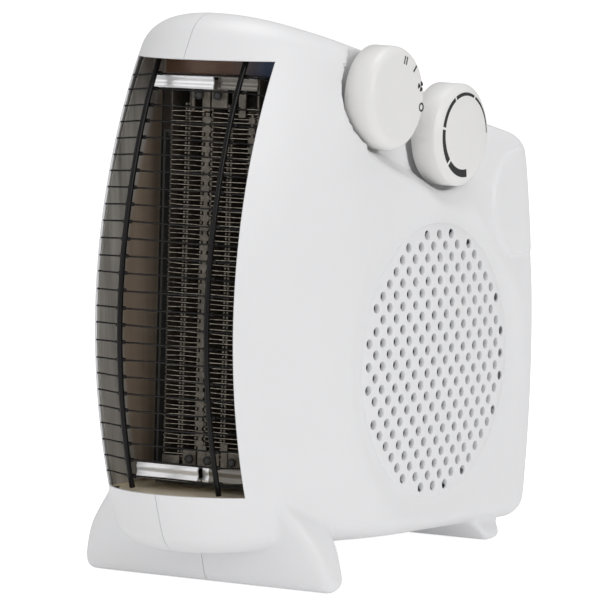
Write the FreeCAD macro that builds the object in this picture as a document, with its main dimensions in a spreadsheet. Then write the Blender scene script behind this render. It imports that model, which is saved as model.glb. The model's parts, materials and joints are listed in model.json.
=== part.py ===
import FreeCAD, Part
import math
import os
import re
import Sketcher

# Upright fan heater. Casing frame while modelling: X is the fan's axis and the casing's width, the
# joint plane between the two half shells is x = 0, the fan's axis is y = z = 0, -Y is the outlet
# grille. Last of all, every sub-part gets one placement, which leans the casing back on its feet and
# puts the origin at the bottom centre of the whole heater. Millimetres.

V = FreeCAD.Vector
doc = FreeCAD.newDocument("FanHeater")
sheet = doc.addObject("Spreadsheet::Sheet", "Sizes")

DRIVING = {
    # casing
    "case_half": 62.8, "wall": 2.5, "seam_gap": 0.15, "edge_round": 15, "lean": 4.82, "foot_drop": 88.8,
    "nose_axis_y": 112, "nose_axis_z": 21, "nose_reach": 248.9, "nose_round": 47.1,
    "open_half": 35, "open_low": -54, "open_high": 130, "rim_depth": 228, "rim_wall": 2.5,
    "top_front_z": 170.5, "front_y": -150, "back_top_y": 74.75, "back_top_z": 95.35, "back_bow": 450,
    "back_low_y": 80.2, "under_z": -75.3, "under_knee_y": -60, "under_front_z": -84.3,
    # feet, as side outlines
    "ff_top_y": -98.5, "ff_top_z": -52, "ff_toe_y": -84.2, "ff_toe_z": -98, "ff_heel_y": -69.5,
    "ff_heel_z": -98, "ff_back_y": -64.5, "ff_back_z": -60,
    "rf_top_y": 20, "rf_top_z": -56, "rf_toe_y": 50, "rf_toe_z": -98, "rf_heel_y": 60,
    "rf_heel_z": -98, "rf_back_y": 62, "rf_back_z": -60, "ff_round": 6, "rf_round": 4, "foot_block": 150,
    "foot_half": 64.5, "foot_low": -120, "foot_side_z": -88, "foot_cheek_x": 59.8, "foot_cheek_z": -73,
    "foot_brow_x": 43.4, "foot_brow_z": -54, "foot_top_x": 30, "foot_top_z": -40,
    # inlet grilles
    "hole_radius": 2, "hole_pitch": 10, "row_pitch": 5, "hole_field": 57, "disc_radius": 60, "disc_gap": 0.1,
    # knob recess and knobs
    "recess_floor": 48, "recess_round": 29.5,
    "fk_y": -45.6, "fk_z": 115.1, "tk_y": 9, "tk_z": 98.3,
    "knob_radius": 22.5, "knob_depth": 14, "knob_gap": 4.8, "knob_round": 4, "rim_round": 1.5,
    "spindle_radius": 3, "spindle_hole": 4, "spindle_reach": 12,
    # outlet grille
    "wire_ring": 233, "wire_radius": 0.4, "bar_radius": 1.2, "bar_x": 22.2, "wire_count": 25,
    "wire_first_turn": -17.43, "wire_turn": 1.808, "wire_half": 34.6, "edge_bar_x": 33.6,
    # duct and fan housing
    "duct_front": 227.6, "duct_half": 36.5, "duct_low": -55.5, "duct_high": 131.5, "duct_back_y": -72,
    "sheet_wall": 0.8, "scroll_wall": 1.2, "scroll_round": 62.5, "scroll_neck_y": -35,
    "scroll_neck_z": 76, "scroll_mouth_z": 98, "inlet_radius": 44,
    # heating element
    "board_wall": 0.8, "board_front_y": -91, "board_back_y": -75, "board_low": -50, "board_high": 122,
    "board_1_x": -19.8, "board_2_x": -3.6, "board_3_x": 1, "board_4_x": 24.3, "comb_1_x": -11.4,
    "comb_2_x": 10.4,
    "strand_pitch": 2.1, "strand_size": 0.6, "strand_low": -42, "strand_high": 112,
    "strand_gap": 0.1, "ribbon_front_y": -90, "ribbon_back_y": -78,
    "bracket_left": -30.4, "bracket_width": 55.5, "bracket_tall": 9, "rivet_radius": 1.6,
    # cord entry and screws
    "gland_x": -30, "gland_z": -52, "gland_radius": 5, "cord_radius": 3.5, "gland_long": 9,
    "screw_head": 3.4,
    # fan
    "fan_radius": 54, "fan_inner": 43, "fan_left": -30, "fan_right": 30, "blade_wall": 1,
    "shaft_radius": 2.5, "bush_radius": 5, "bush_clear": 0.04, "shaft_left": -57, "shaft_right": -16,
    "rotor_radius": 13, "rotor_gap": 0.5, "core_left": -54, "core_long": 16, "core_size": 46,
}
for row, (alias, value) in enumerate(DRIVING.items(), start=1):
    sheet.set("A%d" % row, alias.replace("_", " "))
    sheet.set("B%d" % row, str(value))
    sheet.setAlias("B%d" % row, alias)
doc.recompute()
size = {alias: float(sheet.get(alias)) for alias in DRIVING}

made = {}


def from_sheet(expression):
    """The expression with each alias written as the sheet's property."""
    return re.sub(r"\b[a-z]\w*\b(?!\()", lambda word: "Sizes." + word.group(), str(expression))


def bind(thing, **sizes):
    for name, expression in sizes.items():
        thing.setExpression(name.replace("_at_", "."), from_sheet(expression))
    return thing


def put(thing, x="0", y="0", z="0"):
    return bind(thing, Placement_at_Base_at_x=x, Placement_at_Base_at_y=y, Placement_at_Base_at_z=z)


ALONG_X = FreeCAD.Rotation(V(0, 1, 0), 90)


def box(x, y, z, long, deep, tall):
    """A box from its lowest corner and its three sizes, all as expressions."""
    thing = doc.addObject("Part::Box", "Box")
    return put(bind(thing, Length=long, Width=deep, Height=tall), x, y, z)


def rod(x, y, z, radius, length):
    """A cylinder along +X from x."""
    thing = doc.addObject("Part::Cylinder", "Rod")
    thing.Placement = FreeCAD.Placement(V(), ALONG_X)
    return put(bind(thing, Radius=radius, Height=length), x, y, z)


def post(x, y, z, radius, length):
    """A cylinder along +Z."""
    thing = doc.addObject("Part::Cylinder", "Post")
    return put(bind(thing, Radius=radius, Height=length), x, y, z)


def pin(x, y, z, radius, length):
    """A cylinder along +Y from y."""
    thing = doc.addObject("Part::Cylinder", "Pin")
    thing.Placement = FreeCAD.Placement(V(), FreeCAD.Rotation(V(1, 0, 0), -90))
    return put(bind(thing, Radius=radius, Height=length), x, y, z)


def fuse(*pieces):
    thing = doc.addObject("Part::MultiFuse", "Fuse")
    thing.Shapes = list(pieces)
    return thing


def cut(base, tool):
    thing = doc.addObject("Part::Cut", "Cut")
    thing.Base, thing.Tool = base, tool
    return thing


def common(first, second):
    thing = doc.addObject("Part::Common", "Common")
    thing.Base, thing.Tool = first, second
    return thing


def fillet(base, radius, wanted):
    """Round the base's edges for which wanted(edge) is true."""
    doc.recompute()
    numbers = [i for i, edge in enumerate(base.Shape.Edges, start=1) if wanted(edge)]
    thing = doc.addObject("Part::Fillet", "Fillet")
    thing.Base = base
    thing.Edges = [(i, size[radius], size[radius]) for i in numbers]
    return thing


def node(name, *pieces):
    """One sub-part, as a compound of its piece or its identical pieces."""
    thing = doc.addObject("Part::Compound", "Node")
    thing.Links = list(pieces)
    thing.Label = name
    made[name] = thing
    return thing


def feature(shape):
    """A shape made with Part's own functions, where no sketch or primitive fits."""
    thing = doc.addObject("Part::Feature", "Shape")
    thing.Shape = shape
    return thing


def outline(points, plane=None):
    """A closed sketch: (across, up, radius) for each point, the radius being that of the arc which
    arrives at the point, or None for a line. Arcs are bound by their ends and their radius."""
    sketch = doc.addObject("Sketcher::SketchObject", "Outline")
    if plane == "side":
        sketch.Placement = FreeCAD.Placement(V(), FreeCAD.Rotation(V(1, 1, 1), 120))
    if plane == "front":
        sketch.Placement = FreeCAD.Placement(V(), FreeCAD.Rotation(V(1, 0, 0), 90))
    near = [V(across[1], up[1], 0) for across, up, radius in points]
    for i, (across, up, radius) in enumerate(points):
        start, end = near[i - 1], near[i]
        if radius is None:
            sketch.addGeometry(Part.LineSegment(start, end))
            continue
        chord = end - start
        rise = abs(radius[1]) - math.sqrt(radius[1] ** 2 - (chord.Length / 2) ** 2)
        side = V(chord.y, -chord.x, 0).normalize() * math.copysign(rise, radius[1])
        arc = Part.Arc(start, (start + end) / 2 + side, end)
        sketch.addGeometry(arc)
    for i, (across, up, radius) in enumerate(points):
        turns = radius is not None and radius[1] < 0
        last = 1 if turns else 2
        first_next = 1
        following = points[(i + 1) % len(points)][2]
        if following is not None and following[1] < 0:
            first_next = 2
        sketch.addConstraint(Sketcher.Constraint("Coincident", i, last, (i + 1) % len(points), first_next))
        for kind, (expression, value) in (("DistanceX", across), ("DistanceY", up)):
            number = sketch.addConstraint(Sketcher.Constraint(kind, -1, 1, i, last, float(value)))
            sketch.setExpression("Constraints[%d]" % number, from_sheet(expression))
        if radius is not None:
            number = sketch.addConstraint(Sketcher.Constraint("Radius", i, abs(radius[1])))
            sketch.setExpression("Constraints[%d]" % number, from_sheet(radius[0]))
    return sketch


def at(name):
    """A coordinate that is one cell: its expression and its value."""
    sign = -1 if name.startswith("-") else 1
    return name, sign * size[name.lstrip("-")]


def extrude(sketch, half):
    """The sketch drawn out along X to both sides, half each way."""
    thing = doc.addObject("Part::Extrusion", "Extrude")
    thing.Base = sketch
    thing.DirMode = "Custom"
    thing.Dir = V(1, 0, 0)
    thing.Solid = True
    return bind(thing, LengthFwd=half, LengthRev=half)


def plan_form(inset):
    """The casing's width all round the nose axis: nose arc, side arcs, flat sides, turned once."""
    s = size
    slope = s["open_half"] / s["nose_round"]
    side_round = (s["case_half"] - s["open_half"]) / (1 - slope)
    edge = s["nose_reach"] - s["nose_round"] * (1 - math.sqrt(1 - slope ** 2))
    side = edge - side_round * math.sqrt(1 - slope ** 2)
    slope_text = "(open_half / nose_round)"
    fall_text = "sqrt(1 - %s * %s)" % (slope_text, slope_text)
    round_text = "((case_half - open_half) / (1 - %s))" % slope_text
    nose_text = "(nose_round - %s)" % inset
    edge_text = "(nose_reach - %s - %s * (1 - %s))" % (inset, nose_text, fall_text)
    edge_x_text = "(%s * %s)" % (nose_text, slope_text)
    side_round_text = "(%s - %s)" % (round_text, inset)
    side_text = "(nose_axis_y - %s + %s * %s)" % (edge_text, side_round_text, fall_text)
    half = "(case_half - %s)" % inset
    axis_y = s["nose_axis_y"]
    points = [
        (("-" + half, -s["case_half"]), at("nose_axis_y"), None),
        (("-" + half, -s["case_half"]), (side_text, axis_y - side), None),
        (("-" + edge_x_text, -s["open_half"]), ("nose_axis_y - " + edge_text, axis_y - edge),
         (side_round_text, side_round)),
        ((edge_x_text, s["open_half"]), ("nose_axis_y - " + edge_text, axis_y - edge),
         (nose_text, s["nose_round"])),
        ((half, s["case_half"]), (side_text, axis_y - side), (side_round_text, side_round)),
        ((half, s["case_half"]), at("nose_axis_y"), None),
    ]
    turned = doc.addObject("Part::Revolution", "Nose")
    turned.Source = outline(points)
    turned.Axis = V(1, 0, 0)
    turned.Angle = 360
    turned.Solid = True
    bind(turned, Base_at_y="nose_axis_y")
    return put(turned, z="nose_axis_z")


def casing_form(inset):
    """The casing's body as a closed solid, inset from its outside by an expression."""
    s = size
    points = [
        (at("front_y"), ("top_front_z - %s" % inset, s["top_front_z"]), None),
        (at("front_y"), ("under_front_z + %s" % inset, s["under_front_z"]), None),
        (at("under_knee_y"), ("under_z + %s" % inset, s["under_z"]), None),
        (("back_low_y - %s" % inset, s["back_low_y"]), ("under_z + %s" % inset, s["under_z"]), None),
        (("back_top_y - %s" % inset, s["back_top_y"]), ("back_top_z - 0.75 * %s" % inset, s["back_top_z"]),
         at("back_bow")),
    ]
    block = extrude(outline(points, "side"), "2 * case_half")
    body = common(plan_form(inset), block)
    doc.recompute()
    skin = Part.Shell(block.Shape.Faces)

    def on_block(edge):
        middle = Part.Vertex(edge.valueAt((edge.FirstParameter + edge.LastParameter) / 2))
        return skin.distToShape(middle)[0] < 0.001

    return fillet(body, "edge_round", on_block)


def foot(prefix):
    """A transverse foot bar, as wide as the casing, cut level with the floor afterwards."""
    corners = [(at(prefix + corner + "_y"), at(prefix + corner + "_z"), None)
               for corner in ("top", "toe", "heel", "back")]
    bar = extrude(outline(corners, "side"), "foot_half")

    def is_end(edge):
        steep = abs(edge.tangentAt(edge.FirstParameter).x) < 0.01
        return steep and edge.BoundBox.ZLength > 10 and edge.BoundBox.YLength > 1

    half = [("foot_half", "foot_low"), ("foot_half", "foot_side_z"), ("foot_cheek_x", "foot_cheek_z"),
            ("foot_brow_x", "foot_brow_z"), ("foot_top_x", "foot_top_z")]
    front = [(at(x), at(z), None) for x, z in half] + [(at("-" + x), at(z), None) for x, z in half[::-1]]
    face = doc.addObject("Part::Extrusion", "Front")
    face.Base = outline(front, "front")
    face.DirMode = "Custom"
    face.Dir = V(0, 1, 0)
    face.Solid = True
    bind(face, LengthFwd="foot_block", LengthRev="foot_block")
    return common(fillet(bar, prefix + "round", is_end), face)


def floor_block():
    """Everything below the floor, which leans against the casing frame."""
    block = box("-foot_block", "-2 * foot_block", "-2 * foot_block", "2 * foot_block",
                "4 * foot_block", "2 * foot_block - foot_drop")
    holder = node("floor_block", block)
    del made["floor_block"]
    turn = FreeCAD.Rotation(V(1, 0, 0), size["lean"])
    holder.Placement = FreeCAD.Placement(V(), turn, V(0, 0, -size["foot_drop"]))
    return holder


def recess(grow):
    """The room the two knobs stand in: a round bay about each, open to the top."""
    floor_x = "recess_floor - %s" % grow
    bays = [rod(floor_x, y, z, "recess_round + %s" % grow, "foot_block")
            for y, z in (("fk_y", "fk_z"), ("tk_y", "tk_z"))]
    above = [box(floor_x, "%s - recess_round - %s" % (y, grow), z, "foot_block",
                 "2 * (recess_round + %s)" % grow, "foot_block")
             for y, z in (("fk_y", "fk_z"), ("tk_y", "tk_z"))]
    return fuse(*bays, *above)


def shells():
    solid = fuse(casing_form("0"), cut(fuse(foot("ff_"), foot("rf_")), floor_block()))
    hollow = cut(casing_form("wall"), recess("wall"))
    window = box("-open_half", "front_y", "open_low", "2 * open_half", "-front_y - 60",
                 "open_high - open_low")
    rim_box = box("-open_half - rim_wall", "front_y", "open_low - rim_wall", "2 * (open_half + rim_wall)",
                  "-front_y - 60", "open_high - open_low + 2 * rim_wall")
    rim = cut(common(rim_box, casing_form("0.5 * wall")), rod("-case_half", "nose_axis_y", "nose_axis_z",
                                                    "rim_depth", "2 * case_half"))
    casing = fuse(cut(cut(solid, recess("0")), hollow), rim)
    bores = fuse(*[rod("recess_floor - 10", y, z, "spindle_hole", "20")
                   for y, z in (("fk_y", "fk_z"), ("tk_y", "tk_z"))])
    disc_seats = rod("-2 * case_half", "0", "0", "disc_radius", "4 * case_half")
    middle = rod("-case_half + 10", "0", "0", "disc_radius + 1", "2 * case_half - 20")
    gland_hole = pin("gland_x", "70", "gland_z", "gland_radius", "30")
    screw_holes = fuse(*[rod("-case_half - 1", y, z, "screw_head", "10") for y, z in CASE_SCREWS])
    pierced = cut(cut(casing, window), fuse(bores, gland_hole, screw_holes, cut(disc_seats, middle)))
    for name, left in (("shell_right", "seam_gap"), ("shell_left", "-3 * foot_block - seam_gap")):
        side = box(left, "-2 * foot_block", "-2 * foot_block", "3 * foot_block", "4 * foot_block",
                   "4 * foot_block")
        node(name, common(pierced, side))


CASE_SCREWS = (("66", "72"), ("68", "-58"), ("-40", "-58"), ("-56", "108"))


def inlet_grilles():
    """A round grille let into each side wall, with staggered round holes."""
    for name, left in (("inlet_grille_right", "case_half - wall"), ("inlet_grille_left", "-case_half")):
        disc = rod(left, "0", "0", "disc_radius - disc_gap", "wall")
        holes = node("inlet_holes", *inlet_holes())
        del made["inlet_holes"]
        node(name, cut(disc, holes))


def case_screws():
    screws = []
    for y, z in CASE_SCREWS:
        head = rod("-case_half + 1.5", y, z, "screw_head - 0.1", "2")
        screws.append(fuse(head, rod("-case_half + 3", y, z, "1.5", "12")))
    node("case_screws", *screws)


def inlet_holes():
    """Round holes in staggered rows, in a round field about the fan's axis."""
    rows = int(size["hole_field"] / size["row_pitch"])
    step = size["hole_pitch"] / 2
    holes = []
    for row in range(-rows, rows + 1):
        for place in range(-rows, rows + 1):
            off = math.hypot(place * step, row * size["row_pitch"])
            if (row + place) % 2 and off <= size["hole_field"]:
                holes.append(rod("-case_half - 5", "%d * hole_pitch / 2" % place, "%d * row_pitch" % row,
                                 "hole_radius", "2 * case_half + 10"))
    return holes


def ring_wire(x, radius):
    """A rod bent round the nose axis, in front of the wires."""
    thing = doc.addObject("Part::Torus", "Ring")
    thing.Placement = FreeCAD.Placement(V(), ALONG_X)
    return put(bind(thing, Radius1="wire_ring + wire_radius + 0.8 * bar_radius", Radius2=radius),
               x, "nose_axis_y", "nose_axis_z")


def outlet_grille():
    """Level wires at equal turns round the nose axis, on upright bars bent round the same axis."""
    wires = []
    for i in range(int(size["wire_count"])):
        turn = "((wire_first_turn + %d * wire_turn) * 1deg)" % i
        wires.append(rod("-wire_half", "nose_axis_y - wire_ring * cos" + turn,
                         "nose_axis_z + wire_ring * sin" + turn, "wire_radius", "2 * wire_half"))
    bars = fuse(*[ring_wire(x, "bar_radius") for x in ("-bar_x", "bar_x", "-edge_bar_x", "edge_bar_x")])
    front = box("-open_half", "front_y", "open_low + 0.2", "2 * open_half", "-front_y - 60",
                "open_high - open_low - 0.4")
    node("front_grille", fuse(common(bars, front), *wires))


def air_duct():
    tall = "duct_high - duct_low"
    reach = "duct_back_y - front_y"
    tube = box("-duct_half", "front_y", "duct_low", "2 * duct_half", reach, tall)
    bore = box("-duct_half + sheet_wall", "front_y", "duct_low + sheet_wall",
               "2 * (duct_half - sheet_wall)", reach, tall + " - 2 * sheet_wall")
    back = box("-duct_half", "duct_back_y - sheet_wall", "scroll_mouth_z", "2 * duct_half", "sheet_wall",
               "duct_high - scroll_mouth_z")
    front = rod("-case_half", "nose_axis_y", "nose_axis_z", "duct_front", "2 * case_half")
    node("air_duct", common(fuse(cut(tube, bore), back), front))


def fan_housing():
    s = size
    points = [
        (at("duct_back_y"), at("scroll_mouth_z"), None),
        (at("duct_back_y"), at("duct_low"), None),
        (("0", 0), ("-scroll_round", -s["scroll_round"]), None),
        (("0", 0), ("scroll_round", s["scroll_round"]), ("scroll_round", s["scroll_round"] + 0.001)),
        (at("scroll_neck_y"), at("scroll_neck_z"), None),
    ]
    skin = outline(points, "side")
    inner = doc.addObject("Part::Offset2D", "Inside")
    inner.Source = skin
    bind(inner, Value="-scroll_wall")
    hollow = extrude(inner, "duct_half - scroll_wall")
    mouth = box("-duct_half + scroll_wall", "duct_back_y - 1", "duct_low + scroll_wall",
                "2 * (duct_half - scroll_wall)", "scroll_wall + 2",
                "scroll_mouth_z - duct_low - 2 * scroll_wall")
    inlets = rod("-case_half", "0", "0", "inlet_radius", "2 * case_half")
    house = cut(extrude(skin, "duct_half"), fuse(hollow, mouth, inlets))
    for name, left in (("fan_housing_right", "0.1"), ("fan_housing_left", "-foot_block - 0.1")):
        node(name, common(house, box(left, "-foot_block", "-foot_block", "foot_block", "2 * foot_block",
                                     "2 * foot_block")))


def heating_element():
    deep = "board_back_y - board_front_y"
    boards = ("board_1_x", "board_2_x", "board_3_x", "board_4_x")
    tall = "board_high - board_low"
    ends = [box(x, "board_front_y", "board_low", "board_wall", deep, tall) for x in boards]
    combs = [box(x, "ribbon_front_y + 0.6", "board_low", "board_wall", "ribbon_back_y - ribbon_front_y - 1.2",
                 tall) for x in ("comb_1_x", "comb_2_x")]
    node("mica_boards", *ends, *combs)
    for name, y in (("front_ribbon", "ribbon_front_y"), ("back_ribbon", "ribbon_back_y")):
        node(name, *[feature(zigzag(size[left] + size["board_wall"], size[right], size[y]))
                     for left, right in (boards[:2], boards[2:])])
    for name, z in (("bracket_top", "board_high"), ("bracket_bottom", "board_low - 1")):
        plate = box("bracket_left", "board_front_y - 1", z, "bracket_width", deep + " + 2", "1")
        low = z + " - bracket_tall" if name == "bracket_top" else z
        lip = box("bracket_left", "board_front_y - 2", low, "bracket_width", "1", "bracket_tall + 1")
        node(name, fuse(plate, lip))
    rivets = [pin(x, "board_front_y - 2.8", z, "rivet_radius", "0.8")
              for x, z in (("-5.8", "board_high - 7.3"), ("3.9", "board_high - 7.3"),
                           ("-3", "board_low + 7"), ("6.5", "board_low + 7"))]
    node("bracket_rivets", *rivets)


def zigzag(left, right, y):
    """One wire wound to and fro between two boards, from the lowest strand to the highest."""
    pitch, half = size["strand_pitch"], size["strand_size"] / 2
    low, high = left + size["strand_gap"] + half, right - size["strand_gap"] - half
    count = int((size["strand_high"] - size["strand_low"]) / pitch)
    path = []
    for i in range(count):
        ends = (low, high) if i % 2 == 0 else (high, low)
        height = size["strand_low"] + i * pitch
        path += [V(ends[0], y, height), V(ends[1], y, height)]
    runs = []
    for a, b in zip(path[:-1], path[1:]):
        corner = V(min(a.x, b.x) - half, y - half, min(a.z, b.z) - half)
        runs.append(Part.makeBox(abs(a.x - b.x) + 2 * half, 2 * half, abs(a.z - b.z) + 2 * half, corner))
    return runs[0].multiFuse(runs[1:]).removeSplitter()


def fan():
    hub = rod("fan_left", "0", "0", "fan_radius", "1.5")
    boss = rod("fan_left", "0", "0", "2 * bush_radius", "12")
    ring = cut(rod("fan_right - 1.5", "0", "0", "fan_radius", "1.5"),
               rod("fan_right - 2", "0", "0", "fan_inner", "3"))
    blades = []
    for i in range(30):
        blade = doc.addObject("Part::Box", "Blade")
        turn = FreeCAD.Rotation(V(1, 0, 0), i * 12)
        blade.Placement = FreeCAD.Placement(V(), turn) * FreeCAD.Placement(
            V(size["fan_left"], 0, size["fan_inner"] + 0.6), FreeCAD.Rotation(V(1, 0, 0), 24))
        bind(blade, Length="fan_right - fan_left", Width="blade_wall", Height="fan_radius - fan_inner - 0.2")
        blades.append(blade)
    drum = rod("fan_left", "0", "0", "fan_radius", "fan_right - fan_left")
    wheel = common(fuse(hub, boss, ring, *blades), drum)
    node("impeller", cut(wheel, rod("fan_left - 1", "0", "0", "shaft_radius", "20")))
    node("motor_shaft", rod("shaft_left", "0", "0", "shaft_radius", "shaft_right - shaft_left"))
    node("rotor_core", cut(rod("core_left", "0", "0", "rotor_radius", "core_long"),
                           rod("core_left - 1", "0", "0", "shaft_radius", "core_long + 2")))


def motor():
    """A shaded-pole motor in the left inlet: laminated core, one coil, two plates with bushes."""
    core = box("core_left", "-core_size / 2", "-core_size / 2", "core_long", "core_size", "core_size")
    bore = rod("core_left - 1", "0", "0", "rotor_radius + rotor_gap", "core_long + 2")
    slot = box("core_left - 1", "15", "-11", "core_long + 2", "4", "22")
    node("stator_core", cut(core, fuse(bore, slot)))
    wound = box("core_left - 1.5", "15.2", "-10.5", "core_long + 3", "12", "21")
    node("motor_coil", cut(wound, box("core_left - 0.01", "19", "-12", "core_long + 0.02", "9", "24")))
    for name, x, tall in (("plate_outer", "core_left - 3", "core_size"),
                          ("plate_inner", "core_left + core_long + 0.1", "2 * inlet_radius + 8")):
        bar = box(x, "-7", "-(%s) / 2" % tall, "1.4", "14", tall)
        node("motor_" + name, cut(bar, rod(x + " - 1", "0", "0", "bush_radius", "4")))
        bush = cut(rod(x, "0", "0", "bush_radius", "1.4"),
                   rod(x + " - 1", "0", "0", "shaft_radius + bush_clear", "4"))
        node("bush_" + name.split("_")[1], bush)
    screws = [rod("core_left - 4", "0", z, "1.6", "core_long + 6") for z in ("-19", "19")]
    made["stator_core"].Links = [cut(made["stator_core"].Links[0], fuse(*screws))]
    for plate in ("motor_plate_outer", "motor_plate_inner"):
        made[plate].Links = [cut(made[plate].Links[0], fuse(*screws))]
    node("motor_screws", *screws)


def knob(name, y, z, edge):
    """A round knob with a spindle socket; the edge radius rounds the front rim."""
    face = rod("recess_floor + knob_gap", y, z, "knob_radius", "knob_depth")
    front = size["recess_floor"] + size["knob_gap"] + size["knob_depth"]

    def is_front(rim):
        return abs(rim.BoundBox.XMin - front) < 0.01 and rim.BoundBox.ZLength > size["knob_radius"]

    socket = rod("recess_floor", y, z, "spindle_radius", "knob_gap + 8")
    node(name, cut(fillet(face, edge, is_front), socket))


def controls():
    for name, y, z, edge in (("function_knob", "fk_y", "fk_z", "knob_round"),
                             ("thermostat_knob", "tk_y", "tk_z", "rim_round")):
        knob(name, y, z, edge)
        kind = name.split("_")[0]
        node(kind + "_spindle", rod("recess_floor - spindle_reach", y, z, "spindle_radius",
                                    "spindle_reach + knob_gap + 8"))
    body = box("recess_floor - wall - 13", "fk_y - 14", "fk_z - 14", "12.8", "28", "18")
    socket = rod("recess_floor - 12.6", "fk_y", "fk_z", "spindle_radius + bush_clear", "20")
    node("rotary_switch", cut(body, socket))
    node("switch_terminals", *[box("recess_floor - wall - 19", "fk_y - 10 + %d" % (6 * i), "fk_z - 6",
                                   "6", "0.8", "6") for i in range(4)])
    base = rod("recess_floor - wall - 12", "tk_y", "tk_z", "9", "11.8")
    socket = rod("recess_floor - 12.6", "tk_y", "tk_z", "spindle_radius + bush_clear", "20")
    node("thermostat_base", cut(base, socket))
    node("thermostat_blade", box("recess_floor - wall - 8", "tk_y + 9", "tk_z - 3", "0.8", "20", "6"))
    node("thermostat_contact", rod("recess_floor - wall - 7.2", "tk_y + 26", "tk_z", "2", "2"))


def wiring():
    gland = pin("gland_x", "back_low_y - 2", "gland_z", "gland_radius", "gland_long")
    bore = pin("gland_x", "back_low_y - 4", "gland_z", "cord_radius", "gland_long + 4")
    node("cord_gland", cut(gland, bore))
    node("cord_clamp", box("gland_x - 10", "62", "gland_z - 10", "20", "8", "3"))
    node("terminal_block", box("-24", "64", "-48", "34", "10", "12"))
    node("lead_wires", *[post(x, "67.5", "-36", "1.2", "112") for x in ("-18", "-8", "2")])
    node("thermal_cutout", rod("-6", "board_back_y + 11", "-40", "8", "6"))
    node("thermal_fuse", rod("-10.2", "board_back_y - 5", "117", "2", "6"))


shells()
inlet_grilles()
case_screws()
outlet_grille()
air_duct()
fan_housing()
heating_element()
fan()
motor()
controls()
wiring()
doc.recompute()

whole = Part.makeCompound([thing.Shape for thing in made.values()])
lean = FreeCAD.Rotation(V(1, 0, 0), -size["lean"])
whole.Placement = FreeCAD.Placement(V(), lean)
limits = whole.optimalBoundingBox(False, False)
stand = FreeCAD.Placement(V(-limits.Center.x, -limits.Center.y, -limits.ZMin), lean)
for thing in made.values():
    thing.Placement = stand
doc.recompute()

for thing in doc.Objects:
    if "Invalid" in thing.State or "Error" in thing.State:
        raise SystemExit("failed: %s %s" % (thing.Label, thing.State))
os.makedirs("parts", exist_ok=True)
for name, thing in made.items():
    if thing.Shape.isNull() or not thing.Shape.isValid():
        raise SystemExit("bad shape: " + name)
    thing.Shape.exportStep("parts/%s.step" % name)
    print(name, len(thing.Shape.Solids), round(thing.Shape.Volume / 1000, 2))
print("stand", stand.Base.x, stand.Base.y, stand.Base.z)
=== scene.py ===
"""Looks of the upright fan heater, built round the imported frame. Lengths are millimetres in the
casing frame (X along the fan's axis, x = 0 the joint between the half shells, -Y the outlet), which
one matrix turns into the row frame in metres."""

import json
import math
import random

import bmesh
import bpy
import numpy as np
from mathutils import Matrix, Vector


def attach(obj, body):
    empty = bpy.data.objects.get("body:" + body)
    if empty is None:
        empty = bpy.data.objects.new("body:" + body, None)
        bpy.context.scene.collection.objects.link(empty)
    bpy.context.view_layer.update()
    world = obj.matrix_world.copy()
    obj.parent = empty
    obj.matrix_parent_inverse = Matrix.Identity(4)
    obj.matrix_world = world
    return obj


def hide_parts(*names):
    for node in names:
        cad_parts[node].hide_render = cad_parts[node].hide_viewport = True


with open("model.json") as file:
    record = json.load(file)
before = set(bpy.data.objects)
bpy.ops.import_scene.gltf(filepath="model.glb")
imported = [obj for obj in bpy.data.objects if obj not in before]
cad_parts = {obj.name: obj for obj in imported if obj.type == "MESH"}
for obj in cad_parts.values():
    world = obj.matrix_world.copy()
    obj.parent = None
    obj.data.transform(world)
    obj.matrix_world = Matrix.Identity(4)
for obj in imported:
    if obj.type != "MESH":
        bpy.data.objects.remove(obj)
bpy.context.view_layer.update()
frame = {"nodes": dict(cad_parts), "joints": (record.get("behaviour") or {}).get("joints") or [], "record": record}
record = frame["record"]
joint = {j["name"]: j for j in frame["joints"]}

# ---------------------------------------------------------------- the casing frame
LEAN = math.radians(4.82)
FAN = Vector(joint["fan_spin"]["pos_m"])
TO_ROW = Matrix.Translation(FAN) @ Matrix.Rotation(-LEAN, 4, "X") @ Matrix.Scale(0.001, 4)
TO_CASING = TO_ROW.inverted()
FLOOR_DROP = FAN.z * 1000

CASE_HALF = 62.8
WALL = 2.5
NOSE_Y, NOSE_Z = 112.0, 21.0
NOSE_REACH, NOSE_ROUND = 248.9, 47.1
OPEN_LEFT, OPEN_HALF, OPEN_LOW, OPEN_HIGH = -37.8, 35.0, -54.0, 130.0
DISC_RADIUS = 60.0
DISH_RADIUS = 77.0
DISH_DEPTH = 2.4
SEAM = 0.13

KNOBS = {}
for dial, name in (("function", "function_turn"), ("thermostat", "thermostat_turn")):
    place = TO_CASING @ Vector(joint[name]["pos_m"])
    KNOBS[dial] = (place.y, place.z)


def link(obj):
    bpy.context.scene.collection.objects.link(obj)
    return obj


def mesh_object(name, verts, faces, smooth=True, angle=35):
    """An object from casing-frame points, carried into the row frame."""
    mesh = bpy.data.meshes.new(name)
    mesh.from_pydata([tuple(v) for v in verts], [], [tuple(int(i) for i in f) for f in faces])
    mesh.transform(TO_ROW)
    mesh.validate()
    if smooth:
        mesh.shade_smooth()
        mesh.set_sharp_from_angle(angle=math.radians(angle))
    return link(bpy.data.objects.new(name, mesh))


def finish_piece(obj, body, slot, material, *nodes):
    obj.data.materials.clear()
    obj.data.materials.append(material)
    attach(obj, body)
    if nodes:
        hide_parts(*nodes)
    return obj


# ---------------------------------------------------------------- distance fields
def round_max(a, b, radius):
    """The intersection of two fields, its edge rounded to the radius."""
    return np.minimum(np.maximum(a, b), -radius) + np.hypot(np.maximum(a + radius, 0),
                                                           np.maximum(b + radius, 0))


def round_min(a, b, radius):
    return -round_max(-a, -b, radius)


def step(value, low, high):
    t = np.clip((value - low) / (high - low), 0, 1)
    return t * t * (3 - 2 * t)


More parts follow.
